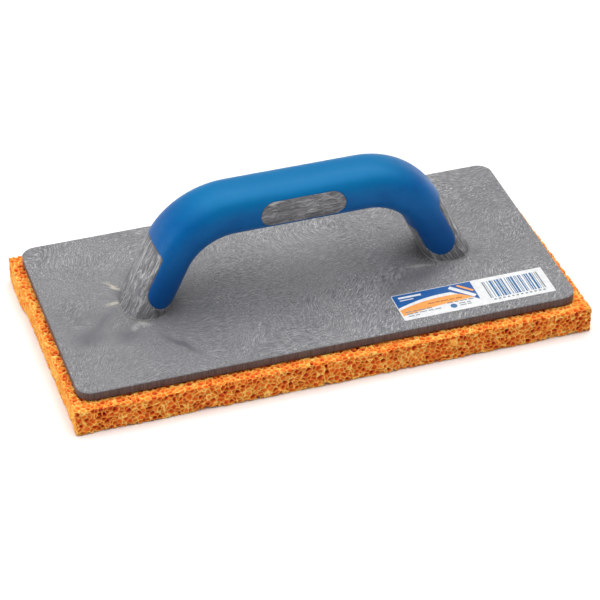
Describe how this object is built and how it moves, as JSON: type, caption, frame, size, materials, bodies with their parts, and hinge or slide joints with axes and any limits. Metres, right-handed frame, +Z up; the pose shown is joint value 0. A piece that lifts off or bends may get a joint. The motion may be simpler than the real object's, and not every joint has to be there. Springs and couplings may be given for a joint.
{
  "type": "grout float",
  "caption": "Rectangular hand float: coarse open-cell sponge pad glued under a rigid plate, with an arched two-leg handle wrapped in a soft grip.",
  "frame": {"origin": "centre of the sponge pad's flat working face, which is also the bottom of the tool", "axes": "+Z up from the working face to the handle, +X along the tool's length and the handle's bar, +Y across the tool, away from the label's edge"},
  "size_m": [0.278, 0.141, 0.083],
  "materials": {
    "sponge": "coarse open cells",
    "glue": "dried contact glue film",
    "plate_plastic": "foamed moulding with flow swirls",
    "handle_plastic": "foamed moulding with flow swirls",
    "grip_rubber": "soft satin",
    "screw_steel": "zinc plated",
    "label_film": "printed film"
  },
  "bodies": {
    "root": {"sponge_pad": "sponge", "adhesive_layer": "glue", "backing_plate": "plate_plastic", "handle_core": "handle_plastic", "soft_grip": "grip_rubber", "handle_screws": "screw_steel", "label": "label_film"}
  },
  "joints": []
}
